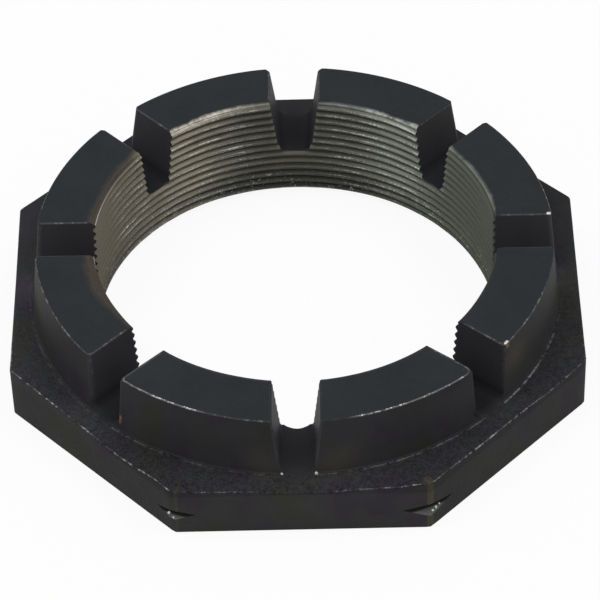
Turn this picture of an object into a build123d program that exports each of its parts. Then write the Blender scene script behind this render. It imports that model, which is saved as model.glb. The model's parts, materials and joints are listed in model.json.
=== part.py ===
from build123d import *
import os
from math import cos, hypot, radians, tan

# Octagonal castle nut for a heavy axle: a forged eight-sided flange below, a drafted round crown
# above it, eight slots across the crown at the middle of the flats, and one threaded bore through
# both. Millimetres, +Z up. The origin is the centre of the bearing face that the nut stands on.

# Driving dimensions of the octagon
flats = 8
across_flats = 125.0            # wrench size over opposite flats
flange_height = 12.8            # bearing face to the top of the octagon
flange_edge_break = 0.4         # upper and lower edges of the octagon

# Driving dimensions of the crown
total_height = 27.4             # bearing face to the tops of the merlons
crown_diameter = 116.0          # where the crown rises from the flange
crown_draft = 5.0               # degrees that its wall leans in
crown_root_radius = 0.6         # fillet between wall and flange
crown_rim_radius = 0.4          # edges of the merlon tops, along the wall and along the slots

# Driving dimensions of the bore
thread_diameter = 90.0          # M90 x 2, the bore is cut to the minor diameter
thread_pitch = 2.0
top_sink_clearance = 0.5        # mouth of the crown's countersink over the thread diameter
top_sink_angle = 120.0          # included angle
base_sink_clearance = 2.0       # the same for the countersink in the bearing face
base_sink_angle = 90.0

# Driving dimensions of the slots, one to each flat
slot_width = 10.3               # at the tops of the merlons
slot_draft = 6.7                # degrees that each wall leans
slot_run_out = 0.2              # how far the floor's middle lies below the top of the flange
slot_floor_radius = 7.6         # hollow of the floor
slot_mouth_radius = 0.9         # upright outer corners of the merlons

# Driving dimensions of the tool notches across the two front corners
notched_corners = (-0.5, 0.5)   # counted in flats from the middle of the front flat
notch_height = 5.4              # root of the notch above the bearing face
notch_depth = 1.85              # bite into the corner
notch_angle = 78.0              # included angle
notch_sweep = 16.0              # degrees of arc, enough to leave both flats

# Derived dimensions
flat_angle = 360.0 / flats
front = -90.0                   # the front flat and its slot face -Y
corner_radius = across_flats / 2 / cos(radians(flat_angle / 2))
overshoot = 1.0                 # how far a cutter runs past the face it cuts
crown_base_radius = crown_diameter / 2
crown_lean = tan(radians(crown_draft))
crown_top_radius = crown_base_radius - (total_height - flange_height) * crown_lean
minor_radius = (thread_diameter - 1.0825 * thread_pitch) / 2
slot_lean = tan(radians(slot_draft))
slot_floor = flange_height - slot_run_out


def octagon_flange():
    """The eight-sided base, one flat square to the front, with broken edges."""
    outline = RegularPolygon(corner_radius, flats, rotation=front + flat_angle / 2)
    flange = extrude(outline, flange_height)
    rims = flange.edges().group_by(Axis.Z)
    return chamfer(rims[0] + rims[-1], flange_edge_break)


def crown_blank():
    """The drafted round crown before it is bored and slotted, let into the flange."""
    foot = flange_height - overshoot
    foot_radius = crown_base_radius + overshoot * crown_lean
    outline = Polyline(
        (0, foot), (foot_radius, foot), (crown_top_radius, total_height), (0, total_height), close=True
    )
    return revolve(Plane.XZ * make_face(outline), Axis.Z)


def bore_cutter():
    """The thread's minor diameter with a countersink at each end."""
    top_slope = tan(radians(top_sink_angle / 2))
    base_slope = tan(radians(base_sink_angle / 2))
    top_mouth = (thread_diameter + top_sink_clearance) / 2
    base_mouth = (thread_diameter + base_sink_clearance) / 2
    outline = Polyline(
        (0, -overshoot),
        (base_mouth + overshoot * base_slope, -overshoot),
        (minor_radius, (base_mouth - minor_radius) / base_slope),
        (minor_radius, total_height - (top_mouth - minor_radius) / top_slope),
        (top_mouth + overshoot * top_slope, total_height + overshoot),
        (0, total_height + overshoot),
        close=True,
    )
    return revolve(Plane.XZ * make_face(outline), Axis.Z)


def slot_section():
    """Section across a slot: leaning walls that end in a hollow floor."""
    top = total_height + overshoot
    foot = slot_floor - overshoot
    top_half = slot_width / 2 + overshoot * slot_lean
    foot_half = slot_width / 2 - (total_height - foot) * slot_lean
    walls = make_face(
        Polyline((-foot_half, foot), (foot_half, foot), (top_half, top), (-top_half, top), close=True)
    )
    hollow_centre = slot_floor + slot_floor_radius
    hollow = Pos(0, hollow_centre) * Circle(slot_floor_radius)
    hollow += Pos(0, hollow_centre + top / 2) * Rectangle(2 * slot_floor_radius, top)
    return walls & hollow


def slot_cutters():
    """One slot to each flat, from the axis out past the flange's corners."""
    cutter = extrude(Plane.XZ * slot_section(), corner_radius + overshoot)
    return [Rot(0, 0, flat_angle * k) * cutter for k in range(flats)]


def notch_cutter(corner):
    """A short V-groove turned about the nut's axis, at one corner of the octagon."""
    reach = notch_depth + overshoot
    half_height = reach * tan(radians(notch_angle / 2))
    outline = Polyline(
        (corner_radius - notch_depth, notch_height),
        (corner_radius + overshoot, notch_height - half_height),
        (corner_radius + overshoot, notch_height + half_height),
        close=True,
    )
    groove = revolve(Plane.XZ * make_face(outline), Axis.Z, revolution_arc=notch_sweep)
    return Rot(0, 0, front + flat_angle * corner - notch_sweep / 2) * groove


def distance_from_axis(edge):
    middle = edge @ 0.5
    return hypot(middle.X, middle.Y)


def slot_mouth_edges(nut):
    """The upright outer corners of the merlons."""
    tall = [e for e in nut.edges() if e.bounding_box().size.Z > (total_height - flange_height) / 2]
    return [e for e in tall if distance_from_axis(e) > (crown_top_radius + minor_radius) / 2]


def merlon_rim_edges(nut):
    """The edges of the merlon tops, apart from those of the countersink."""
    mouth = (thread_diameter + top_sink_clearance) / 2
    top_edges = nut.edges().group_by(Axis.Z)[-1]
    return [e for e in top_edges if distance_from_axis(e) > mouth + crown_rim_radius]


def crown_root_edges(nut):
    """The arcs where the crown's wall meets the top of the flange."""
    level = [e for e in nut.edges() if e.bounding_box().size.Z < 0.001]
    at_top = [e for e in level if abs(e.center().Z - flange_height) < 0.001]
    return [e for e in at_top if abs(distance_from_axis(e) - crown_base_radius) < 0.001]


def castle_nut():
    nut = octagon_flange() + crown_blank() - bore_cutter()
    for cutter in slot_cutters():
        nut -= cutter
    nut = fillet(slot_mouth_edges(nut), slot_mouth_radius)
    nut = fillet(merlon_rim_edges(nut), crown_rim_radius)
    nut = fillet(crown_root_edges(nut), crown_root_radius)
    for corner in notched_corners:
        nut -= notch_cutter(corner)
    return nut


os.makedirs("parts", exist_ok=True)
export_step(castle_nut(), "parts/castle_nut.step")
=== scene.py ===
import json
from math import cos, degrees, exp, log, pi, radians, sin, tan

import bpy
from mathutils import Matrix, Vector


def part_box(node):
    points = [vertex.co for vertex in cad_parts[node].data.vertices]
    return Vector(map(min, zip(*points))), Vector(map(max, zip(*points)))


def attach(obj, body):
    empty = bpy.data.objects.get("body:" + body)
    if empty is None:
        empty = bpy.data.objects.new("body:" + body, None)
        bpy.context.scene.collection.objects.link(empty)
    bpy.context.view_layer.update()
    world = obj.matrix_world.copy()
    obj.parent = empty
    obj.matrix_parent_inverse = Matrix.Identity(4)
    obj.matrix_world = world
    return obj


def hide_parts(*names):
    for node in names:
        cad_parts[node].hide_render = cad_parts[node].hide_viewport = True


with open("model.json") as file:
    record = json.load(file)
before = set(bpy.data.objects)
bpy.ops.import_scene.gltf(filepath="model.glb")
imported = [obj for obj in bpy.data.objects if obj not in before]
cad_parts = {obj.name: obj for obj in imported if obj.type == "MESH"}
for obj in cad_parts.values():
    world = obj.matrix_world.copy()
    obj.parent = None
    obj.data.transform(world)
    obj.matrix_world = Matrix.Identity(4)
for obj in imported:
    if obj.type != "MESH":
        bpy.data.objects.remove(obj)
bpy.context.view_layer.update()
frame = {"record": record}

mm = 0.001
flatCount = 8
flatTurn = 2 * pi / flatCount
boxLow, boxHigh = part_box("castle_nut")
apothem = (boxHigh.x - boxLow.x) / 2 / mm          # everything below is worked out in millimetres
totalHeight = (boxHigh.z - boxLow.z) / mm
threadMount = next(m for m in frame["record"]["mounts"] if m["name"] == "thread")
minorRadius = threadMount["dims"]["r_mm"]
print("frame read: across flats", round(2 * apothem, 3), "height", round(totalHeight, 3))


# node trees: one wrapper for values, one bench that adds nodes

class Wire:
    def __init__(self, socket):
        self.socket = socket

    def math(self, operation, *others, clamp=False):
        bench = Bench(self.socket.id_data)
        values = dict(enumerate((self,) + others))
        return bench.make("ShaderNodeMath", {"operation": operation, "use_clamp": clamp}, values)

    def __add__(self, other):
        return self.math("ADD", other)

    def __sub__(self, other):
        return self.math("SUBTRACT", other)

    def __rsub__(self, other):
        return (self * -1) + other

    def __mul__(self, other):
        return self.math("MULTIPLY", other)

    def __truediv__(self, other):
        return self.math("DIVIDE", other)

    def __rtruediv__(self, other):
        return (self ** -1) * other

    def __pow__(self, other):
        return self.math("POWER", other)

    __radd__ = __add__
    __rmul__ = __mul__

    def above(self, low, high):
        # 0 below low, 1 above high, smooth between; high < low turns it round
        bench = Bench(self.socket.id_data)
        settings = {"interpolation_type": "SMOOTHSTEP"}
        sockets = {"Value": self, "From Min": low, "From Max": high}
        return bench.make("ShaderNodeMapRange", settings, sockets)

    def near(self, middle, reach):
        # 1 at the middle, 0 at its reach on either side
        return (self - middle).math("ABSOLUTE").above(reach, 0.0)

    def clamped(self):
        return self.math("ADD", 0.0, clamp=True)

    def capped(self):
        return self.math("MINIMUM", 1.0)


class Bench:
    def __init__(self, tree):
        self.tree = tree

    def make(self, kind, settings=None, sockets=None, out=0):
        node = self.tree.nodes.new(kind)
        for name, value in (settings or {}).items():
            if name == "items":
                while len(node.index_switch_items) < value:
                    node.index_switch_items.new()
            else:
                setattr(node, name, value)
        for name, value in (sockets or {}).items():
            for one in value if isinstance(value, list) else [value]:
                if isinstance(one, Wire):
                    self.tree.links.new(one.socket, node.inputs[name])
                else:
                    node.inputs[name].default_value = one
        return Wire(node.outputs[out]) if node.outputs else node

    def mix(self, share, first, second):
        # colours only; the sockets are the RGBA ones of the Mix node
        sockets = {0: share, 6: first, 7: second}
        return self.make("ShaderNodeMix", {"data_type": "RGBA"}, sockets, out=2)

    def tinted(self, colour, amount):
        grey = self.vector(amount, amount, amount)
        settings = {"data_type": "RGBA", "blend_type": "MULTIPLY"}
        return self.make("ShaderNodeMix", settings, {0: 1.0, 6: colour, 7: grey}, out=2)

    def vector(self, x, y, z):
        return self.make("ShaderNodeCombineXYZ", None, {"X": x, "Y": y, "Z": z})

    def noise(self, place, size, detail=2.0, roughness=0.5):
        # size is that of one speck, in the units of place
        sockets = {"Vector": place, "Scale": 1.0 / size, "Detail": detail, "Roughness": roughness}
        return self.make("ShaderNodeTexNoise", {"noise_dimensions": "3D"}, sockets)


# the blank: a turned and forged ring, laid out as rows round the axis

blank = {
    "flangeHeight": 12.8,
    "edgeBreak": 0.4,
    "cornerSharpness": 450.0,          # higher is sharper, at the octagon's upright corners
    "crownFootRadius": 58.0,
    "crownDraft": 5.0,
    "crownFall": 0.45,                 # how much lower the crown's top lies at the front
    "crownFallFrom": 15.0,             # in front of the axis, where that starts
    "crownFallOver": 40.0,
    "rimRound": 0.35,
    "footRound": 0.35,
    "footRidge": 0.07,                 # burr that the turning tool left round the foot
    "topMouthRadius": 45.25,
    "topMouthAngle": 120.0,
    "baseMouthRadius": 46.0,
    "baseMouthAngle": 90.0,
    "threadRootRadius": 44.55,         # the grooves are cut shallow, with wide roots
    "threadPitch": 2.0,
    "threadStart": 0.35,               # height of a groove's middle at +X, above a whole pitch
    # how far the forging strays, one entry to each flat from +X on, anticlockwise from above
    "flatShift": (-0.1, 0.0, -0.1, -0.05, -0.39, -0.08, -0.15, 0.79),
    "flatSkew": (0.0, 0.1, 0.0, -0.1, -0.03, -0.9, -0.25, 0.77),
    "flatLean": (0.0, 0.0, 0.0, 0.0, 0.0, 0.35, 0.0, 0.0),         # how far its top stands out
    # height of each flat's top edge over the flange's own, at even steps from corner to corner
    "edgeRise": (
        (0.5, 0.1, 0.0, -0.1, -0.2, -0.1, 0.0, 0.1, 0.2),
        (0.2, 0.15, 0.1, 0.1, 0.1, 0.1, 0.15, 0.2, 0.3),
        (0.3, 0.2, 0.2, 0.2, 0.2, 0.2, 0.2, 0.2, 0.2),
        (0.2, 0.15, 0.1, 0.1, 0.1, 0.1, 0.15, 0.2, 0.3),
        (0.3, 0.2, 0.0, -0.1, -0.1, 0.0, 0.2, 0.5, 0.9),
        (0.9, 0.6, 0.25, 0.05, -0.45, -1.2, -0.8, 0.05, -0.2),
        (-0.2, -0.7, -0.7, -1.05, -1.4, -1.3, -0.67, -0.32, 0.5),
        (0.5, 0.5, 0.25, 0.0, 0.15, 0.0, -0.4, -0.1, 0.5),
    ),
}

# columns of one sector, in degrees from a slot's middle: none where a slot's wall will be cut
halfSector = (0.0, 3.0, 8.0, 9.5, 11.0, 12.5, 14.0, 15.5, 17.0, 18.5, 20.0, 21.2, 22.0, 22.3, 22.45)
cornerPlace = degrees(flatTurn) / 2


def columnAngles():
    sector = list(halfSector) + [2 * cornerPlace - a for a in reversed(halfSector[1:])]
    turns = [radians(a) + k * flatTurn for k in range(flatCount) for a in sector]
    return turns + [2 * pi]


def octagonRadius(angle, height=0.0):
    # the nearest flat along this direction, with the corners a little rounded
    sharp = blank["cornerSharpness"]
    near = []
    for k in range(flatCount):
        facing = cos(angle - k * flatTurn - radians(blank["flatSkew"][k]))
        if facing > 0.5:
            lean = blank["flatLean"][k] * height / blank["flangeHeight"]
            near.append(log(facing / (apothem + blank["flatShift"][k] + lean)))
    top = max(near)
    return exp(-top - log(sum(exp(sharp * (n - top)) for n in near)) / sharp)


def edgeStray(angle):
    # how far the flange's top edge lies above or below its height, smooth between the steps
    k = round(angle / flatTurn)
    rises = blank["edgeRise"][k % flatCount]
    t = max(-1.0, min(1.0, tan(angle - k * flatTurn) / tan(flatTurn / 2)))
    place = (1 + t) / 2 * (len(rises) - 1)
    step = min(int(place), len(rises) - 2)
    share = place - step
    share = share * share * (3 - 2 * share)
    return rises[step] * (1 - share) + rises[step + 1] * share


def topFall(angle, radius):
    # how much lower the crown's top lies here, in numbers
    ahead = (-radius * sin(angle) - blank["crownFallFrom"]) / blank["crownFallOver"]
    return blank["crownFall"] * max(0.0, min(1.0, ahead))


def crownFall(y):
    # the same at this y, in a node tree
    ahead = (y * -1 - blank["crownFallFrom"]) / blank["crownFallOver"]
    return ahead.clamped() * blank["crownFall"]


def arcPoints(centre, radius, start, stop, steps):
    turns = [radians(start + (stop - start) * i / steps) for i in range(steps + 1)]
    return [(centre[0] + radius * cos(a), centre[1] + radius * sin(a)) for a in turns]


def blankRows():
    # each row: radius and height as functions of the angle, and its marks
    rows = []

    def addRow(radius, height, **marks):
        rows.append((radius, height, marks))

    def addRound(radius, height, **marks):
        addRow(lambda a: radius, lambda a: height, **marks)

    pitch = blank["threadPitch"]
    baseTop = (blank["baseMouthRadius"] - minorRadius) / tan(radians(blank["baseMouthAngle"] / 2))
    mouth = blank["topMouthRadius"]
    topBase = totalHeight - (mouth - minorRadius) / tan(radians(blank["topMouthAngle"] / 2))
    for i in range(9):
        addRound(1.0, baseTop * i / 9, bore=1.0)
    phases = (0.0, 0.12, 0.13, 0.215, 0.305, 0.315, 0.5, 0.685, 0.695, 0.785, 0.87, 0.88)
    first = -pitch
    while first < topBase:
        for phase in phases:
            addRound(1.0, first + phase * pitch, bore=1.0, coil=1.0)
        first += pitch
    for i in range(6):
        def climbed(a, share=i / 5):
            return topBase + (totalHeight - topBase - topFall(a, mouth)) * share
        addRow(lambda a: 1.0, climbed, bore=1.0)

    def addTop(radius, height):
        addRow(lambda a: radius, lambda a: height - topFall(a, radius))

    foot, rim, ridge = blank["footRound"], blank["rimRound"], blank["footRidge"]
    flange, lean = blank["flangeHeight"], radians(blank["crownDraft"])
    topRadius = blank["crownFootRadius"] - (totalHeight - flange) * tan(lean)
    for share in (0.03, 0.2, 0.4, 0.6, 0.8, 0.93):
        addTop(mouth + (topRadius - mouth) * share, totalHeight)
    # the rim's arc touches the top and the leaning wall
    rimReach = rim * tan((pi / 2 - lean) / 2)
    for x, z in arcPoints((topRadius - rimReach, totalHeight - rim), rim, 90, degrees(lean), 4):
        addTop(x, z)
    for share in (0.92, 0.84, 0.7, 0.56, 0.42, 0.29, 0.18, 0.1):
        rise = (totalHeight - flange) * share
        addRound(blank["crownFootRadius"] - rise * tan(lean), flange + rise)
    footReach = foot * tan((pi / 2 - lean) / 2)
    footCentre = (blank["crownFootRadius"] + footReach, flange + foot)
    for x, z in arcPoints(footCentre, foot, 180 + degrees(lean), 262, 4):
        addRound(x, z)
    ridgeAt = blank["crownFootRadius"] + footReach + 0.25
    addRound(ridgeAt - 0.12, flange + ridge * 0.6, forged=0.5, ridge=0.6)
    addRound(ridgeAt, flange + ridge, forged=1.0, ridge=1.0)
    addRound(ridgeAt + 0.2, flange + ridge * 0.7, forged=1.0, ridge=0.8)

    # flange: from the ridge's circle out to the octagon
    broken = blank["edgeBreak"]
    start = ridgeAt + 0.5

    def topRow(share):
        def radius(a):
            return start + (octagonRadius(a, flange) - broken - start) * share
        addRow(radius, lambda a: flange + edgeStray(a) * share ** 1.3, forged=1.0)

    for share in (0.0, 0.15, 0.3, 0.45, 0.6, 0.75, 0.88, 0.96):
        topRow(share)
    lipShine = (0.5, 1.0, 1.0, 0.5, 0.0)
    for (x, z), shine in zip(arcPoints((-broken, -broken), broken, 90, 0, 4), lipShine):
        addRow(
            lambda a, x=x: octagonRadius(a, flange) + x,
            lambda a, z=z: flange + edgeStray(a) + z,
            forged=0.6,
            lip=shine,
        )
    sideFoot = 2 * broken
    for share in (0.93, 0.8, 0.65, 0.5, 0.35, 0.2, 0.07, 0.0):
        addRow(
            lambda a, s=share: octagonRadius(a, flange * s),
            lambda a, s=share: sideFoot + (flange + edgeStray(a) - sideFoot) * s,
            forged=0.3 * min(1.0, 4 * share),
        )
    for x, z in arcPoints((-broken, broken), broken, 0, -90, 4):
        addRow(lambda a, x=x: octagonRadius(a) + x, lambda a, z=z: z)
    for share in (0.96, 0.8, 0.6, 0.4, 0.2, 0.03):
        def radius(a, s=share):
            return blank["baseMouthRadius"] + (octagonRadius(a) - blank["baseMouthRadius"]) * s
        addRow(radius, lambda a: 0.0)
    return rows


def makeBlank():
    rows, columns = blankRows(), columnAngles()
    points, quads = [], []
    for radius, height, marks in rows:
        for angle in columns:
            r = radius(angle) * mm
            points.append((r * cos(angle), r * sin(angle), height(angle) * mm))
    across = len(columns)
    for j in range(len(rows)):
        low, high = j * across, (j + 1) % len(rows) * across
        for i in range(across - 1):
            quads.append((low + i, high + i, high + i + 1, low + i + 1))
    mesh = bpy.data.meshes.new("blank")
    mesh.from_pydata(points, [], quads)
    for name in ("bore", "coil", "ridge", "lip", "forged"):
        values = [marks.get(name, 0.0) for radius, height, marks in rows for angle in columns]
        mesh.attributes.new(name, "FLOAT", "POINT").data.foreach_set("value", values)
    turns = [angle for row in rows for angle in columns]
    mesh.attributes.new("angle", "FLOAT", "POINT").data.foreach_set("value", turns)
    return mesh


# the cuts: thread, slots and notches, as one Geometry Nodes tree

cuts = {
    "slotWidth": 10.3,                 # at the tops of the merlons
    "slotDraft": 6.7,
    "slotFloor": 12.75,
    "slotFloorRadius": 7.6,
    "slotCornerFill": 1.0,             # how high the floor climbs its walls
    "slotRunOut": 4.0,                 # how far its floor climbs by the cutter's far end
    "slotRimRound": 0.35,
    # one entry to each slot from +X on, anticlockwise from above: degrees off the middle, share of
    # the width, how much deeper it is, share of the corner fill, round of its outer corners
    "slotTurn": (-0.45, -0.25, -0.55, -0.76, -0.45, -0.45, -0.37, -0.45),
    "slotSpread": (1.0, 0.966, 1.068, 0.947, 1.0, 1.0, 0.993, 1.0),
    "slotDrop": (0.0, -0.2, 0.15, 0.0, 0.0, 0.0, 0.45, 0.0),
    "slotFill": (1.0, 1.0, 2.3, 1.0, 1.0, 1.0, 1.0, 1.0),
    "slotMouthRound": (1.3, 1.3, 1.3, 1.3, 1.3, 1.3, 0.5, 0.8),
    # sideways per millimetre outwards, side whose rim is worn round, how much rounder its corner is
    "slotYaw": (0.0, 0.0, 0.0, 0.0, 0.0, 0.0, 0.0, 0.09),
    "wornSide": (0.0, 0.0, 0.0, 0.0, 0.0, 1.0, 0.0, -1.0),
    "wornMouth": (0.0, 0.0, 0.0, 0.0, 0.0, 0.0, 0.0, 1.1),
    "slotYawFrom": 45.0,               # radius that it turns about
    "wornRound": 1.4,                  # of the worn rim
    "wornStand": 1.1,                  # how much further that side stands in below its rim
    "notchHeight": 5.4,
    "notchDepth": 1.6,
    "notchAngle": 78.0,
    "notchSweep": 16.0,                # degrees of arc
    "notchFirst": -112.5,              # degrees from +X, and the other is one corner on
    "unevenness": 0.12,                # forged skin, peak to valley
    "unevennessSize": 9.0,
    "seed": 3.0,
}


class CutBench(Bench):
    # the cut tree's bench, with the tree's inputs and the point being placed at hand
    def __init__(self, tree, names):
        super().__init__(tree)
        inputs = tree.nodes.new("NodeGroupInput").outputs
        self.blank, self.finish = Wire(inputs["Geometry"]), Wire(inputs["Finish"])
        self.size = {name: Wire(inputs[name]) for name in names}
        self.position = self.make("GeometryNodeInputPosition")
        apart = self.make("ShaderNodeSeparateXYZ", None, {0: self.position}).socket.node
        self.x, self.y, self.z = (Wire(apart.outputs[i]) for i in range(3))

    def mark(self, name):
        return self.make("GeometryNodeInputNamedAttribute", {"data_type": "FLOAT"}, {"Name": name})

    def marked(self, geometry, name, value, domain="FACE"):
        settings = {"data_type": "FLOAT", "domain": domain}
        sockets = {"Geometry": geometry, "Name": name, "Value": value}
        return self.make("GeometryNodeStoreNamedAttribute", settings, sockets)

    def moved(self, geometry, **places):
        return self.make("GeometryNodeSetPosition", None, {"Geometry": geometry, **places})

    def realized(self, geometry):
        return self.make("GeometryNodeRealizeInstances", None, {"Geometry": geometry})

    def box(self, *counts):
        # a unit box from -0.5 to 0.5, with this many points along x, y and z
        sockets = {"Vertices " + axis: count for axis, count in zip("XYZ", counts)}
        return self.make("GeometryNodeMeshCube", None, {"Size": (1.0, 1.0, 1.0), **sockets})

    def points(self, count):
        return self.make("GeometryNodeMeshLine", None, {"Count": count, "Offset": (0.0, 0.0, 0.0)})

    def onPoints(self, points, instance, **others):
        sockets = {"Points": points, "Instance": instance, **others}
        return self.make("GeometryNodeInstanceOnPoints", None, sockets)

    def round(self, radius, turn, height, across=0.0):
        # a place from its radius and turn, and how far it lies to the left: millimetres to metres
        x = radius * turn.math("COSINE") - across * turn.math("SINE")
        y = radius * turn.math("SINE") + across * turn.math("COSINE")
        return self.vector(x * mm, y * mm, height * mm)


def forgedSkin(bench, geometry):
    # the forged skin wanders a little, before anything is cut
    size = bench.size
    wander = bench.make(
        "ShaderNodeTexNoise",
        {"noise_dimensions": "4D"},
        {
            "Vector": bench.position,
            "W": size["Seed"],
            "Scale": 1000.0 / size["Unevenness Size"],
            "Detail": 2.0,
        },
    )
    shift = (wander - 0.5) * size["Unevenness"] * bench.mark("forged") * mm
    normal = bench.make("GeometryNodeInputNormal")
    offset = bench.make("ShaderNodeVectorMath", {"operation": "SCALE"}, {0: normal, "Scale": shift})
    return bench.moved(geometry, Offset=offset)


def threadedBore(bench, geometry):
    # bore rows climb with the angle, and each takes its radius from where it lies in the thread
    size, z = bench.size, bench.z / mm
    angle, coil = bench.mark("angle"), bench.mark("coil")
    turns = angle / (2 * pi)
    topSlope = tan(radians(blank["topMouthAngle"] / 2))
    baseSlope = tan(radians(blank["baseMouthAngle"] / 2))
    topBase = size["Total Height"] - (size["Top Mouth Radius"] - size["Minor Radius"]) / topSlope
    baseTop = (size["Base Mouth Radius"] - size["Minor Radius"]) / baseSlope
    climbed = (z + turns * size["Pitch"]).math("MAXIMUM", baseTop).math("MINIMUM", topBase)
    height = z + (climbed - z) * coil
    phase = ((height - size["Thread Start"]) / size["Pitch"] - turns + 0.5).math("FRACT")
    # a groove's middle lies at half phase: its flat root, then its flanks out to the crest
    rootReach, flankReach = 0.375, 0.18
    groove = (((phase - 0.5).math("ABSOLUTE") * -1 + rootReach) / flankReach).clamped()
    threadRadius = size["Minor Radius"] + (size["Root Radius"] - size["Minor Radius"]) * groove
    mouthFall = crownFall(angle.math("SINE") * blank["topMouthRadius"])
    topSink = size["Top Mouth Radius"] - (size["Total Height"] - mouthFall - height) * topSlope
    baseSink = size["Base Mouth Radius"] - height * baseSlope
    radius = threadRadius.math("MAXIMUM", topSink).math("MAXIMUM", baseSink)
    isBore = bench.mark("bore").math("GREATER_THAN", 0.5)
    geometry = bench.moved(geometry, Selection=isBore, Position=bench.round(radius, angle, height))
    weld = {"Geometry": geometry, "Distance": 0.002 * mm}
    return bench.make("GeometryNodeMergeByDistance", None, weld)


def slotCutters(bench):
    # boxes whose sides lean, whose floor is hollow, and which flare where they leave the crown and
    # its top, so that they round those corners as they cut; all clear of one another
    start, reach, over = 35.0, 75.0, 3.0
    merlonMiddle = 52.0                # radius where the crown's fall is read
    outerFlare, outerStep = 0.4, 1.2   # past the rounded mouth: how much wider and further out
    size = bench.size
    index = bench.make("GeometryNodeInputIndex")
    points = bench.marked(bench.points(flatCount), "slot", index, domain="POINT")
    box = bench.marked(bench.box(9, 21, 6), "milled", 1.0)
    slots = bench.realized(bench.onPoints(points, box))
    slotIndex = bench.mark("slot")

    def perSlot(values):
        sockets = {0: slotIndex, **{k + 1: value for k, value in enumerate(values)}}
        settings = {"data_type": "FLOAT", "items": flatCount}
        return bench.make("GeometryNodeIndexSwitch", settings, sockets)

    def quarter(step):
        # a quarter turn as the step goes from 0 to 1
        return step.math("MAXIMUM", 0.0).capped() * (pi / 2)

    # rows along the slot: 0 in the bore, 1 to 6 round the mouth, 7 just outside, 8 past the flange
    row = (bench.x + 0.5) * 8
    mouthTurn = quarter((row - 1) / 5)
    inBore = row.math("LESS_THAN", 0.5)
    outside, last = row.math("GREATER_THAN", 6.5), row.math("GREATER_THAN", 7.5)
    # levels: 0 the floor, 1 to 4 round the rim, 5 above the crown
    level = (bench.z + 0.5) * 5
    rimTurn = quarter((level - 1) / 3)
    floor, ceiling = level.math("LESS_THAN", 0.5), level.math("GREATER_THAN", 4.5)
    u = bench.y * 2                    # -1 to 1 across the slot
    worn = (u * perSlot(cuts["wornSide"])).math("GREATER_THAN", 0.0) * (1 - inBore)
    rimRound = worn * (cuts["wornRound"] - cuts["slotRimRound"]) + cuts["slotRimRound"]
    mouthRound = perSlot(cuts["slotMouthRound"]) + worn * perSlot(cuts["wornMouth"])
    turned = slotIndex * flatTurn + perSlot([radians(a) for a in cuts["slotTurn"]])

    # the wall meets the hollow floor a little above the floor's middle
    hollowRadius, slotDepth = size["Slot Floor Radius"], size["Total Height"] - size["Slot Floor"]
    floorHalf = size["Slot Half Width"] - slotDepth * size["Slot Lean"]
    rise = hollowRadius - (hollowRadius ** 2 - (floorHalf * 1.03) ** 2) ** 0.5
    fill = size["Slot Corner Fill"] * perSlot(cuts["slotFill"])
    footHalf = floorHalf + (rise + fill) * size["Slot Lean"]
    hollow = hollowRadius - (hollowRadius ** 2 - (u * footHalf) ** 2) ** 0.5
    floorHeight = size["Slot Floor"] + hollow + u ** 6 * fill

    # height and half width at each level, then how far out the crown's wall stands there
    crownTop = size["Total Height"] - crownFall(turned.math("SINE") * merlonMiddle)
    levelHeight = crownTop + (rimTurn.math("SINE") - 1) * rimRound + ceiling * over
    leaned = (levelHeight - size["Total Height"]) * size["Slot Lean"]
    levelHalf = size["Slot Half Width"] + leaned - worn * cuts["wornStand"]
    slotHeight = levelHeight + (floorHeight - levelHeight) * floor
    slotHalf = levelHalf + (footHalf - levelHalf) * floor
    flare = (1 - rimTurn.math("COSINE")) * rimRound + (1 - mouthTurn.math("COSINE")) * mouthRound
    across = u * (slotHalf + flare + outside * outerFlare) * perSlot(cuts["slotSpread"])
    wallLean = tan(radians(blank["crownDraft"]))
    wallRadius = blank["crownFootRadius"] - (slotHeight - blank["flangeHeight"]) * wallLean
    mouthRadius = wallRadius + (mouthTurn.math("SINE") - 1) * mouthRound + outside * outerStep
    along = (mouthRadius ** 2 - across ** 2) ** 0.5
    along = along + (along * -1 + start) * inBore + (along * -1 + reach) * last
    slotHeight = slotHeight + last * size["Slot Run Out"] - perSlot(cuts["slotDrop"])
    across = across + (along - cuts["slotYawFrom"]) * perSlot(cuts["slotYaw"])
    return bench.moved(slots, Position=bench.round(along, turned, slotHeight, across))


def notchCutters(bench):
    # a V turned about the axis at each notched corner, a hair wide at its root
    overshoot, hair = 2.0, 0.05
    size = bench.size
    deep = (bench.x + 0.5) * (size["Notch Depth"] + overshoot)
    radius = deep + (apothem / cos(flatTurn / 2) - size["Notch Depth"])
    half = deep * tan(radians(cuts["notchAngle"] / 2)) + hair
    height = bench.z * 2 * half + size["Notch Height"]
    place = bench.round(radius, bench.y * radians(cuts["notchSweep"]), height)
    wedge = bench.marked(bench.moved(bench.box(2, 9, 2), Position=place), "notched", 1.0)
    corner = bench.make("GeometryNodeInputIndex") * flatTurn + radians(cuts["notchFirst"])
    facing = bench.make("FunctionNodeEulerToRotation", None, {0: bench.vector(0.0, 0.0, corner)})
    return bench.onPoints(bench.points(2), wedge, Rotation=facing)


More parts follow.
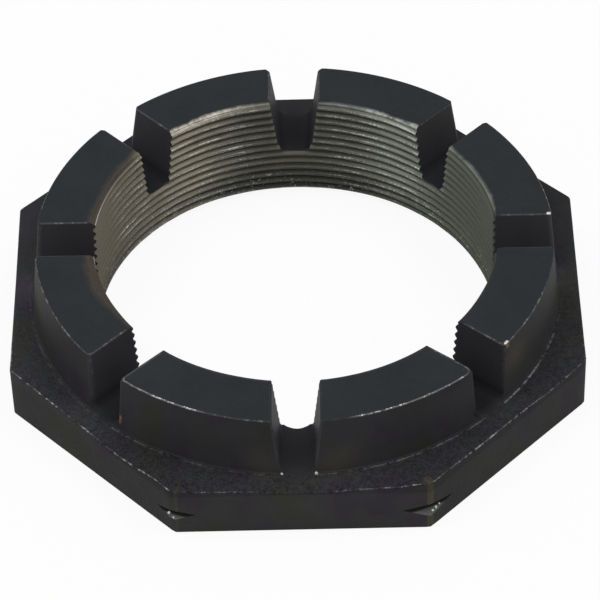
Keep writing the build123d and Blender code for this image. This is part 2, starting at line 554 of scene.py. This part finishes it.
def makeCutTree():
    tree = bpy.data.node_groups.new("nutCuts", "GeometryNodeTree")
    tree.interface.new_socket("Geometry", in_out="INPUT", socket_type="NodeSocketGeometry")
    tree.interface.new_socket("Geometry", in_out="OUTPUT", socket_type="NodeSocketGeometry")
    finish = tree.interface.new_socket("Finish", in_out="INPUT", socket_type="NodeSocketMaterial")
    sizes = {
        "Total Height": totalHeight,
        "Minor Radius": minorRadius,
        "Root Radius": blank["threadRootRadius"],
        "Pitch": blank["threadPitch"],
        "Thread Start": blank["threadStart"],
        "Top Mouth Radius": blank["topMouthRadius"],
        "Base Mouth Radius": blank["baseMouthRadius"],
        "Slot Half Width": cuts["slotWidth"] / 2,
        "Slot Lean": tan(radians(cuts["slotDraft"])),
        "Slot Floor": cuts["slotFloor"],
        "Slot Floor Radius": cuts["slotFloorRadius"],
        "Slot Corner Fill": cuts["slotCornerFill"],
        "Slot Run Out": cuts["slotRunOut"],
        "Notch Height": cuts["notchHeight"],
        "Notch Depth": cuts["notchDepth"],
        "Unevenness": cuts["unevenness"],
        "Unevenness Size": cuts["unevennessSize"],
        "Seed": cuts["seed"],
    }
    for name, value in sizes.items():
        socket = tree.interface.new_socket(name, in_out="INPUT", socket_type="NodeSocketFloat")
        socket.default_value = value
    bench = CutBench(tree, sizes)
    geometry = threadedBore(bench, forgedSkin(bench, bench.blank))
    cutters = {"Geometry": [slotCutters(bench), notchCutters(bench)]}
    cutters = bench.realized(bench.make("GeometryNodeJoinGeometry", None, cutters))
    geometry = bench.make(
        "GeometryNodeMeshBoolean",
        {"operation": "DIFFERENCE", "solver": "EXACT"},
        {"Mesh 1": geometry, "Mesh 2": cutters},
    )
    finished = {"Geometry": bench.realized(geometry), "Material": bench.finish}
    geometry = bench.make("GeometryNodeSetMaterial", None, finished)
    tree.links.new(geometry.socket, tree.nodes.new("NodeGroupOutput").inputs["Geometry"])
    return tree, finish.identifier


def settle(piece):
    # bake what the modifiers make into a plain mesh
    shown = piece.evaluated_get(bpy.context.evaluated_depsgraph_get())
    solid = bpy.data.meshes.new_from_object(shown)
    piece.modifiers.clear()
    piece.data = solid


def markUprights(mesh):
    # the rounded upright corners face between the crown's wall and a slot's wall
    innermost = (blank["topMouthRadius"] + 8.0) * mm
    lowest = (blank["flangeHeight"] + 1.2) * mm
    values = []
    for polygon in mesh.polygons:
        away = Vector((polygon.center.x, polygon.center.y, 0.0))
        outer = away.length > innermost and polygon.center.z > lowest
        turned = 0.25 < abs(polygon.normal.dot(away.normalized())) < 0.94
        values.append(1.0 if outer and turned and abs(polygon.normal.z) < 0.3 else 0.0)
    mesh.attributes.new("upright", "FLOAT", "FACE").data.foreach_set("value", values)


def makeNut(finish):
    nut = bpy.data.objects.new("nut", makeBlank())
    bpy.context.collection.objects.link(nut)
    tree, finishSocket = makeCutTree()
    modifier = nut.modifiers.new("cuts", "NODES")
    modifier.node_group = tree
    modifier[finishSocket] = finish
    settle(nut)
    markUprights(nut.data)
    nut.data.polygons.foreach_set("use_smooth", [True] * len(nut.data.polygons))
    nut.data.set_sharp_from_angle(angle=radians(37))
    weighted = nut.modifiers.new("evenShade", "WEIGHTED_NORMAL")
    weighted.keep_sharp = True
    settle(nut)
    nut.data.name = "nut"
    triangles = sum(len(p.vertices) - 2 for p in nut.data.polygons)
    print("nut made:", len(nut.data.vertices), "points,", triangles, "triangles")
    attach(nut, "root")
    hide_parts("castle_nut")


# the finish: black oxide outside, bare cut steel in the bore

tint = {
    # the blacks are one black oxide, each face given the brightness it shows under the lamps:
    # painted light and shade, the tops' bluer black a painted sheen, the slot walls and the front
    # slot's floor lighter and the other slot floors darker
    "topBlack": (0.0272, 0.0312, 0.0350, 1.0),
    "wallBlack": (0.0320, 0.0318, 0.0340, 1.0),
    "slotBlack": (0.0450, 0.0430, 0.0490, 1.0),
    "slotFloorBlack": (0.0250, 0.0255, 0.0300, 1.0),
    "frontFloorBlack": (0.0385, 0.0365, 0.0415, 1.0),
    "flangeBlack": (0.0305, 0.0312, 0.0352, 1.0),
    "sideBlack": (0.0342, 0.0336, 0.0338, 1.0),
    "violetBlack": (0.0290, 0.0240, 0.0330, 1.0),
    "oliveBlack": (0.0300, 0.0300, 0.0220, 1.0),
    "olive": (0.080, 0.070, 0.042, 1.0),
    "greenGrey": (0.050, 0.054, 0.046, 1.0),
    # the notch's painted light, then its painted shade
    "notchPale": (0.110, 0.118, 0.104, 1.0),
    "notchShade": (0.016, 0.017, 0.016, 1.0),
    "bareTan": (0.205, 0.190, 0.143, 1.0),
    "bareGreen": (0.20, 0.218, 0.182, 1.0),
    "bareShaded": (0.10, 0.10, 0.085, 1.0),
    "brownStain": (0.076, 0.066, 0.051, 1.0),
    "paleBand": (0.50, 0.47, 0.38, 1.0),
    "paleGreen": (0.30, 0.33, 0.30, 1.0),
    "rootShadeAndGrime": (0.012, 0.012, 0.010, 1.0),
    "evenTan": (0.132, 0.121, 0.092, 1.0),
    "evenGreen": (0.079, 0.088, 0.072, 1.0),
    "bright": (0.70, 0.70, 0.68, 1.0),
    "stain": (0.095, 0.078, 0.042, 1.0),
    "rust": (0.24, 0.155, 0.065, 1.0),
    "yellowed": (0.36, 0.34, 0.19, 1.0),
}

# how far each wear and painted highlight reaches, at places given in degrees from +X, anticlockwise
# from above
wearAndHighlights = {
    "blackInBore": 44.1,               # radius where the black ends in the mouth of the bore
    # patches: degrees, how far to each side, and how strong
    "mouthPatches": (
        (30, 16, 0.85),
        (67, 20, 0.7),
        (112, 20, 0.75),
        (158, 20, 1.3),
        (195, 6, 1.3),
        (203, 12, 0.8),
    ),
    "rimPatches": (
        (237, 10, 1.1),
        (258, 10, 0.2),
        (284.6, 0.5, 0.9),
        (299, 8, 1.1),
        (330, 9, 0.3),
        (14, 10, 1.0),
        (203, 18, 0.25),
        (155, 12, 0.3),
    ),
    "lipPatches": (
        (210, 12, 1.0),
        (237, 6, 0.9),
        (253, 5, 0.3),
        (284, 6, 0.45),
        (301, 8, 0.55),
        (318, 8, 0.55),
        (332, 10, 0.4),
    ),
    # the ridge's patches place a painted highlight
    "ridgePatches": ((305, 22, 1.0), (333, 8, 0.9), (250, 20, 0.35), (210, 20, 0.3)),
    # nicks, stains and rust spots: degrees, radius, height and reach
    "nicks": (
        (321.5, 56.4, 27.05, 0.6),
        (322.2, 56.4, 27.1, 0.6),
        (5.2, 56.6, 27.2, 0.7),
        (5.3, 55.9, 27.3, 0.6),
        (266.4, 58.2, 13.0, 0.5),
        (273.6, 58.3, 13.0, 0.7),
        # the last six lie along the two notches' lower lips: painted highlight with nicks
        (294.5, 67.3, 4.15, 0.6),
        (295.3, 67.0, 4.4, 0.65),
        (296.1, 66.7, 4.75, 0.6),
        (246.6, 67.3, 4.3, 0.55),
        (245.5, 66.9, 4.9, 0.6),
        (244.4, 66.5, 5.3, 0.5),
    ),
    "stains": (
        (324.5, 57.4, 21.5, 6.5),
        (262.0, 57.8, 15.5, 6.0),
        (279.0, 57.8, 15.5, 6.5),
        (247.5, 66.8, 13.0, 2.0),
        (293.5, 67.0, 12.9, 1.6),
        (4.8, 57.0, 25.5, 1.8),
    ),
    "rustSpots": (
        (321.9, 56.7, 26.4, 1.2),
        (228.9, 57.8, 15.2, 1.3),
        (229.2, 57.7, 16.4, 1.0),
    ),
}


class FinishBench(Bench):
    # the finish's bench, with the place on the surface, its marks, the noises and the zones at hand
    def __init__(self, tree):
        super().__init__(tree)
        coordinates = self.make("ShaderNodeTexCoord", out=3)
        scaled = {0: coordinates, "Scale": 1 / mm}
        place = self.make("ShaderNodeVectorMath", {"operation": "SCALE"}, scaled)
        apart = self.make("ShaderNodeSeparateXYZ", None, {0: place}).socket.node
        x, y, z = (Wire(apart.outputs[i]) for i in range(3))
        radius = (x * x + y * y) ** 0.5
        self.place, self.x, self.y, self.z, self.radius = place, x, y, z, radius
        self.angle = y.math("ARCTAN2", x)
        # heights near the crown's top follow its fall towards the front
        self.top = z + crownFall(y)
        for name in ("ridge", "lip", "forged", "milled", "notched", "upright"):
            setattr(self, name, self.make("ShaderNodeAttribute", {"attribute_name": name}, out=2))

        self.fine = self.noise(place, 0.4, 3.0, 0.6)
        self.grain = self.noise(place, 1.1, 3.0, 0.6)
        self.blotch = self.noise(place, 6.0, 3.0, 0.55)
        self.hue = self.noise(place, 11.0, 3.0, 0.55)
        self.cloud = self.noise(place, 20.0, 2.0, 0.5)
        # marks of the turning tool run round the axis
        ringed = self.vector(radius / 0.3, self.angle * 5.0, z / 0.3)
        self.turning = self.noise(ringed, 1.0, 3.0, 0.6)
        self.dragged = self.noise(self.vector(x / 0.5, y / 0.5, z / 9.0), 1.0, 3.0, 0.6)

        self.crownTop = self.top.above(totalHeight - 0.3, totalHeight - 0.03) * (1 - self.milled)
        self.flangeTop = (radius - 57.9).above(0.0, 0.5) * z.above(10.4, 11.2)
        self.side = (radius - 59.0).above(0.0, 0.6) * (1 - self.lip.above(0.3, 0.7))
        self.side = self.side * (1 - self.forged.above(0.4, 0.6))
        self.low = z.above(10.0, 2.5)
        self.sink = z.above(26.45, 26.65)
        self.inThread = z.above(1.6, 2.2) * (1 - self.sink)
        # 0 at the thread's crest, 1 at its root
        threadDepth = blank["threadRootRadius"] - minorRadius
        self.depth = (radius - minorRadius) / threadDepth

    def around(self, middle, reach, soft=10.0):
        # 1 within reach degrees of this direction, fading out over the soft degrees beyond
        facing = (self.angle - radians(middle)).math("COSINE")
        return facing.above(cos(radians(reach + soft)), cos(radians(reach)))

    def patches(self, name, soft=10.0):
        total = 0.0
        for middle, reach, amount in wearAndHighlights[name]:
            total = self.around(middle, reach, soft) * amount + total
        return total

    def spots(self, name):
        total = 0.0
        for turn, r, height, reach in wearAndHighlights[name]:
            ends = {0: self.place, 1: (r * cos(radians(turn)), r * sin(radians(turn)), height)}
            away = self.make("ShaderNodeVectorMath", {"operation": "DISTANCE"}, ends, out=1)
            total = away.above(reach, 0.0) + total
        return total


def bareShare(bench):
    # where the steel is bare: the bore, with a ragged edge round its mouth
    ragged = (bench.blotch - 0.5) * 1.3 + (bench.grain - 0.5) * 0.25
    edge = bench.patches("mouthPatches") * (1 + ragged) + wearAndHighlights["blackInBore"] + ragged * 0.3
    fade = bench.around(188, 42, 10) * 0.45 + 0.55
    inside = (bench.radius - edge - bench.z.above(4.0, 1.0) * 3.0) / fade
    return inside.above(1.0, -1.0) * (1 - bench.milled)


def blackShade(bench):
    # light and dark in the black finish: random tone and grain, and painted light and shade on some
    # faces
    around, z, flangeTop, side = bench.around, bench.z, bench.flangeTop, bench.side
    shade = 0.70 + bench.cloud * 0.32 + bench.blotch * 0.24
    shade = shade + (bench.grain - 0.5) * 0.25 * bench.crownTop
    speckle = (bench.fine * 0.6 + bench.grain * 0.4 - 0.5) * 3.4
    shade = shade + speckle * flangeTop * (1 - side) * bench.y.above(50.0, -40.0)
    # painted light: the black lighter from the crown's middle height down, the flange's top and the
    # slots left out, against the shade at the crown's foot
    shade = shade + z.above(18.0, 13.2) * 0.25 * (1 - flangeTop) * (1 - bench.milled)
    # painted shade: the side flats at 225° and 315° darker
    shade = shade - side * (around(225, 18, 6) + around(315, 18, 6)) * 0.2
    # painted light: the flange's top lighter at the left
    return shade + flangeTop * around(190, 25, 20) * 0.35


def blackFinish(bench):
    around, mix, z, radius = bench.around, bench.mix, bench.z, bench.radius
    crownTop, milled, hue = bench.crownTop, bench.milled, bench.hue
    # each face takes its own black: painted light and shade on the one finish
    black = mix(crownTop, tint["wallBlack"], tint["topBlack"])
    black = mix(bench.flangeTop, black, tint["flangeBlack"])
    black = mix(bench.side, black, tint["sideBlack"])
    black = mix(hue.above(0.5, 0.65) * 0.6 * (1 - crownTop), black, tint["violetBlack"])
    black = mix(hue.above(0.48, 0.36) * 0.6 * (1 - crownTop), black, tint["oliveBlack"])

    # slots: their walls, then their floors, which turn into the flange's black further out; painted
    # light and shade there, the walls lighter than the floors and the front slot's floor lighter
    # than the others
    floorBlack = mix(around(270, 8, 4), tint["slotFloorBlack"], tint["frontFloorBlack"])
    slotted = mix(z.above(17.0, 13.0), tint["slotBlack"], floorBlack)
    # painted shade: the slots at 225° and 315° darker
    slotted = bench.tinted(slotted, 1 - around(225, 8) * 0.12 - around(315, 8) * 0.3)
    slotted = mix(radius.above(55.5, 59.0) * z.above(14.5, 13.2), slotted, tint["flangeBlack"])
    black = mix(milled, black, slotted)

    # faint browns and greens where the black has thinned
    shaft = z.above(13.5, 22.0) * (1 - crownTop) * radius.above(46.0, 50.0)
    browned = (around(345, 14, 16) + around(192, 10, 14)).capped() * shaft * (0.3 + bench.dragged)
    black = mix(browned * 0.12 * (1 - milled), black, tint["olive"])
    greened = around(50, 5, 4) * milled * z.above(18.0, 26.0) * (0.2 + bench.blotch * 0.6)
    black = mix(greened, black, tint["greenGrey"])
    cornered = around(293.8, 0.4, 0.4) * 0.7 + around(247.3, 0.1, 0.3) * 0.35
    cornered = cornered * radius.above(65.0, 66.5) * (0.3 + bench.dragged)
    black = mix(cornered, black, tint["olive"])
    # painted shade in the notch's upper part, painted light on its lower face
    notched = mix(z.above(4.95, 4.55), tint["notchShade"], tint["notchPale"])
    black = mix(bench.notched, black, notched)
    return bench.tinted(black, blackShade(bench))


def rootShadeAndGrime(bench):
    # dark lines along the thread's roots: painted shade under each crest with some grime, stronger
    # at the back and low down
    z, angle = bench.z, bench.angle
    turns = (z - blank["threadStart"]) / blank["threadPitch"] - angle / (2 * pi)
    rootLine = (turns + 0.5).math("FRACT").near(0.52, 0.17)
    deep = (bench.around(98, 45, 25) * 0.55 + bench.low * 0.3 + 0.25).math("MINIMUM", 0.95)
    return rootLine, rootLine * bench.depth.above(0.3, 0.9) * bench.inThread * deep


def bareFinish(bench, rootLine, shadeAndGrime):
    # bare steel: tan at the left, greener at the right, with painted shade at the back and low down
    around, mix, x, low, sink = bench.around, bench.mix, bench.x, bench.low, bench.sink
    blotch, grain = bench.blotch, bench.grain
    steel = mix(x.above(-22.0, 30.0), tint["bareTan"], tint["bareGreen"])
    steel = mix((around(90, 8, 22) * 0.75 + low * 0.6).capped(), steel, tint["bareShaded"])

    # the countersink: a pale band at the back, stained at the left
    pale = mix(x.above(-5.0, 12.0), tint["paleBand"], tint["paleGreen"])
    steel = mix(sink * around(90, 34, 8) * (0.25 + grain * 0.8), steel, pale)
    stain = sink * around(188, 42, 10) * (0.35 + blotch + grain * 0.4)
    steel = mix(stain.capped(), steel, tint["brownStain"])
    lit = around(124, 12, 10) * 0.16 - around(90, 20, 14) * 0.1
    lit = lit - low * 0.22 - around(200, 16, 10) * 0.1
    steel = bench.tinted(steel, 0.55 + bench.turning * 0.6 + (bench.fine - 0.5) * 0.5 + lit)

    # the thread: painted shade with some grime in its roots, and a flat tan or green over its sides
    # at the left and right, away from the root lines
    steel = mix(shadeAndGrime, steel, tint["rootShadeAndGrime"])
    evenedSides = (around(172, 34, 14) + around(5, 35, 18)) * (1 - rootLine)
    evenTone = mix(x.above(-5.0, 12.0), tint["evenTan"], tint["evenGreen"])
    steel = mix(evenedSides * 0.9 * bench.inThread * (1 - low * 0.6), steel, evenTone)
    # painted highlights on the countersink near 60° and 119°
    shine = sink * (around(119, 7, 5) + around(60, 5, 6)) * grain.above(0.35, 0.6)
    return mix(shine * 0.5, steel, tint["bright"])


def bareBright(bench):
    # bright specks in the bore: painted highlights on worn crests near 60° and 128°, dings low
    # down, and one painted highlight line round its mouth at the left
    around, z, low, fine = bench.around, bench.z, bench.low, bench.fine
    gleam = (around(60, 12, 12) + around(128, 18, 14)) * bench.inThread * (1 - low * 0.6)
    specks = (bench.turning * 0.6 + fine * 0.4).above(0.5, 0.66)
    gleam = gleam * specks * bench.depth.above(0.6, 0.1)
    dings = low * bench.inThread * (fine * 0.5 + bench.grain * 0.5).above(0.56, 0.66)
    lineAt = z.near(26.62, 0.16) * bench.radius.near(43.98, 0.16)
    lineAt = lineAt * around(165, 20, 8) * (0.3 + bench.blotch)
    return (gleam * 0.8 + dings * 0.5 + lineAt * 0.9).capped()


def edgeWearAndHighlights(bench, bare):
    # worn edges: rubbed bright in dots along the rims, partly worn and partly painted glints along
    # the flange's lip, painted highlights along the foot's ridge and the upright corners, and the
    # nicks
    radius, grain, top, lip, ridge = bench.radius, bench.grain, bench.top, bench.lip, bench.ridge
    dots = (bench.fine * 0.4 + grain * 0.6).above(0.50, 0.62)
    broken = (bench.blotch * 0.5 + grain * 0.5).above(0.42, 0.56)
    topEdge = top.above(totalHeight - 0.34, totalHeight - 0.22)
    topEdge = topEdge * top.above(totalHeight - 0.01, totalHeight - 0.05)
    outerEdge = (radius - 55.8).above(0.0, 0.3) * topEdge
    sideEdge = topEdge * (1 - outerEdge) * radius.above(45.6, 46.0)
    worn = outerEdge * (bench.patches("rimPatches", 4.0) + 0.03) * (0.2 + dots)
    worn = worn + sideEdge * (0.05 + dots * 0.2)
    # the lip: wear with painted glints
    lipWearAndGlint = lip.above(0.6, 1.0) * (bench.patches("lipPatches", 6.0) + 0.03)
    worn = worn + lipWearAndGlint * (0.14 + dots * 0.45) * broken
    # painted highlight along the ridge round the crown's foot
    ridgeHighlight = ridge.above(0.2, 0.8) * (bench.patches("ridgePatches") + 0.04)
    worn = worn + ridgeHighlight * (0.14 + dots * 0.08) * broken
    # painted highlight down the rounded upright corners
    worn = worn + bench.upright * dots * 0.04 * bench.z.above(14.0, 22.0)
    nick = bench.spots("nicks")
    nick = (nick + (grain - 0.5) * 1.4).above(0.35, 0.7) * nick.above(0.0, 0.2)
    return (worn + nick * 0.9).capped() * (1 - bare), nick


def finishBump(bench, bare):
    # heights in millimetres
    fine, grain, forged = bench.fine - 0.5, bench.grain - 0.5, bench.forged
    height = fine * 0.012 + grain * forged * 0.16 + fine * forged * 0.06
    height = height + (bench.turning - 0.5) * (0.004 + bare * 0.022)
    height = height + (bench.dragged - 0.5) * bench.side * 0.02
    height = height + grain * (bench.crownTop * 0.012 + bench.low * bench.inThread * 0.08)
    return bench.make("ShaderNodeBump", None, {"Strength": 1.0, "Distance": mm, "Height": height})


def makeFinish():
    material = bpy.data.materials.new("blackenedSteel")
    material.use_nodes = True
    tree = material.node_tree
    tree.nodes.clear()
    bench = FinishBench(tree)
    mix, around, blotch = bench.mix, bench.around, bench.blotch
    bare = bareShare(bench)
    rootLine, shadeAndGrime = rootShadeAndGrime(bench)
    worn, nick = edgeWearAndHighlights(bench, bare)

    colour = mix(bare, blackFinish(bench), bareFinish(bench, rootLine, shadeAndGrime))
    stained = (bench.spots("stains") * 0.35 * (0.2 + blotch)).capped()
    colour = mix(stained * (1 - bench.milled * 0.6), colour, tint["stain"])
    rusted = (bench.spots("rustSpots") + bench.grain - 0.5).above(0.2, 0.9) * 0.6
    colour = mix(rusted, colour, tint["rust"])
    yellowed = around(14, 12, 6) * (1 - bare) * (1 - nick) * bench.radius.above(53.0, 54.5)
    bright = mix(yellowed, tint["bright"], tint["yellowed"])
    # worn edges, nicks and dings, and painted highlights, turn bright
    colour = mix((worn * 0.75 + bareBright(bench) * bare).capped(), colour, bright)

    roughness = 0.52 + (bench.fine - 0.5) * 0.16 - bench.crownTop * 0.04 + bench.forged * 0.1
    roughness = roughness - bare * 0.02 - worn * 0.1
    metallic = (bare * 0.6 + worn * 0.8).capped() * (1 - shadeAndGrime * bare * 0.8)
    shader = bench.make(
        "ShaderNodeBsdfPrincipled",
        None,
        {
            "Base Color": colour,
            "Roughness": roughness,
            "Metallic": metallic,
            "Normal": finishBump(bench, bare),
            "Specular IOR Level": 0.03,
        },
    )
    bench.make("ShaderNodeOutputMaterial", None, {"Surface": shader})
    print("finish made:", len(tree.nodes), "nodes")
    return material


makeNut(makeFinish())


# floor, lamps and camera

studio = {
    "floorColour": (0.95, 0.95, 0.95, 1.0),
    "floorHalf": 3.0,                  # metres from the middle to each side
    "floorGlow": 0.92,                 # share of plain white that is added to the lit floor
    "worldGrey": 0.5,
    # name: direction the lamp stands in, its size in metres and its watts, all one metre away
    "lamps": {
        "left": ((-0.44, -0.05, 0.9), 0.5, 2.5),
        "right": ((0.44, -0.02, 0.9), 0.5, 2.5),
    },
}


def seenDirectly(bench):
    # camera, glossy and transmission rays see the plain background
    rays = bench.make("ShaderNodeLightPath").socket.node
    camera, glossy = Wire(rays.outputs["Is Camera Ray"]), Wire(rays.outputs["Is Glossy Ray"])
    through = Wire(rays.outputs["Is Transmission Ray"])
    return camera.math("MAXIMUM", glossy).math("MAXIMUM", through)


def makeFloor():
    mesh = bpy.data.meshes.new("floor")
    half = studio["floorHalf"]
    corners = [(-half, -half, 0), (half, -half, 0), (half, half, 0), (-half, half, 0)]
    mesh.from_pydata(corners, [], [(0, 1, 2, 3)])
    floor = bpy.data.objects.new("floor", mesh)
    bpy.context.collection.objects.link(floor)
    material = bpy.data.materials.new("paleFloor")
    material.use_nodes = True
    material.node_tree.nodes.clear()
    bench = Bench(material.node_tree)
    matt = bench.make("ShaderNodeBsdfDiffuse", None, {"Color": studio["floorColour"]})
    white = bench.make("ShaderNodeEmission", None, {"Color": (1.0, 1.0, 1.0, 1.0), "Strength": 1.0})
    share = seenDirectly(bench) * studio["floorGlow"]
    both = bench.make("ShaderNodeMixShader", None, {0: share, 1: matt, 2: white})
    bench.make("ShaderNodeOutputMaterial", None, {"Surface": both})
    mesh.materials.append(material)


makeFloor()

# degrees, then millimetres: the camera faces the origin from this far off, moved right and up
view = {
    "azimuth": 0.355,
    "elevation": 43.736,
    "roll": -1.622,
    "distance": 816.8,
    "right": 0.84,
    "up": 5.529,
    "lens": 219.25,
}


def makeCamera():
    az, el, roll = (radians(view[k]) for k in ("azimuth", "elevation", "roll"))
    back = Vector((sin(az) * cos(el), -cos(az) * cos(el), sin(el)))
    right = Vector((cos(az), sin(az), 0.0))
    up = back.cross(right)
    place = (back * view["distance"] + right * view["right"] + up * view["up"]) * mm
    turnedRight = right * cos(roll) + up * sin(roll)
    turnedUp = up * cos(roll) - right * sin(roll)
    camera = bpy.data.objects.new("camera", bpy.data.cameras.new("camera"))
    axes = Matrix((turnedRight, turnedUp, back)).transposed()
    camera.matrix_world = Matrix.Translation(place) @ axes.to_4x4()
    camera.data.lens = view["lens"]
    camera.data.sensor_width = 36.0
    camera.data.clip_start = 0.01
    bpy.context.collection.objects.link(camera)
    bpy.context.scene.camera = camera


makeCamera()


def makeLamp(name, direction, size, watts):
    lamp = bpy.data.lights.new(name, "AREA")
    lamp.shape = "SQUARE"
    lamp.size = size
    lamp.energy = watts
    shown = bpy.data.objects.new(name, lamp)
    shown.location = Vector(direction).normalized()
    shown.rotation_euler = Vector(direction).to_track_quat("Z", "Y").to_euler()
    bpy.context.collection.objects.link(shown)


def makeWorld():
    world = bpy.data.worlds.new("studio")
    world.use_nodes = True
    world.node_tree.nodes.clear()
    bench = Bench(world.node_tree)
    grey = studio["worldGrey"]
    soft = bench.make("ShaderNodeBackground", None, {"Color": (grey, grey, grey, 1.0)})
    white = bench.make("ShaderNodeBackground", None, {"Color": (1.0, 1.0, 1.0, 1.0)})
    both = bench.make("ShaderNodeMixShader", None, {0: seenDirectly(bench), 1: soft, 2: white})
    bench.make("ShaderNodeOutputWorld", None, {"Surface": both})
    bpy.context.scene.world = world


makeWorld()
for lampName, (direction, lampSize, watts) in studio["lamps"].items():
    makeLamp(lampName, direction, lampSize, watts)
print("studio made:", len(studio["lamps"]), "lamps")
bpy.context.scene.view_settings.view_transform = "Standard"
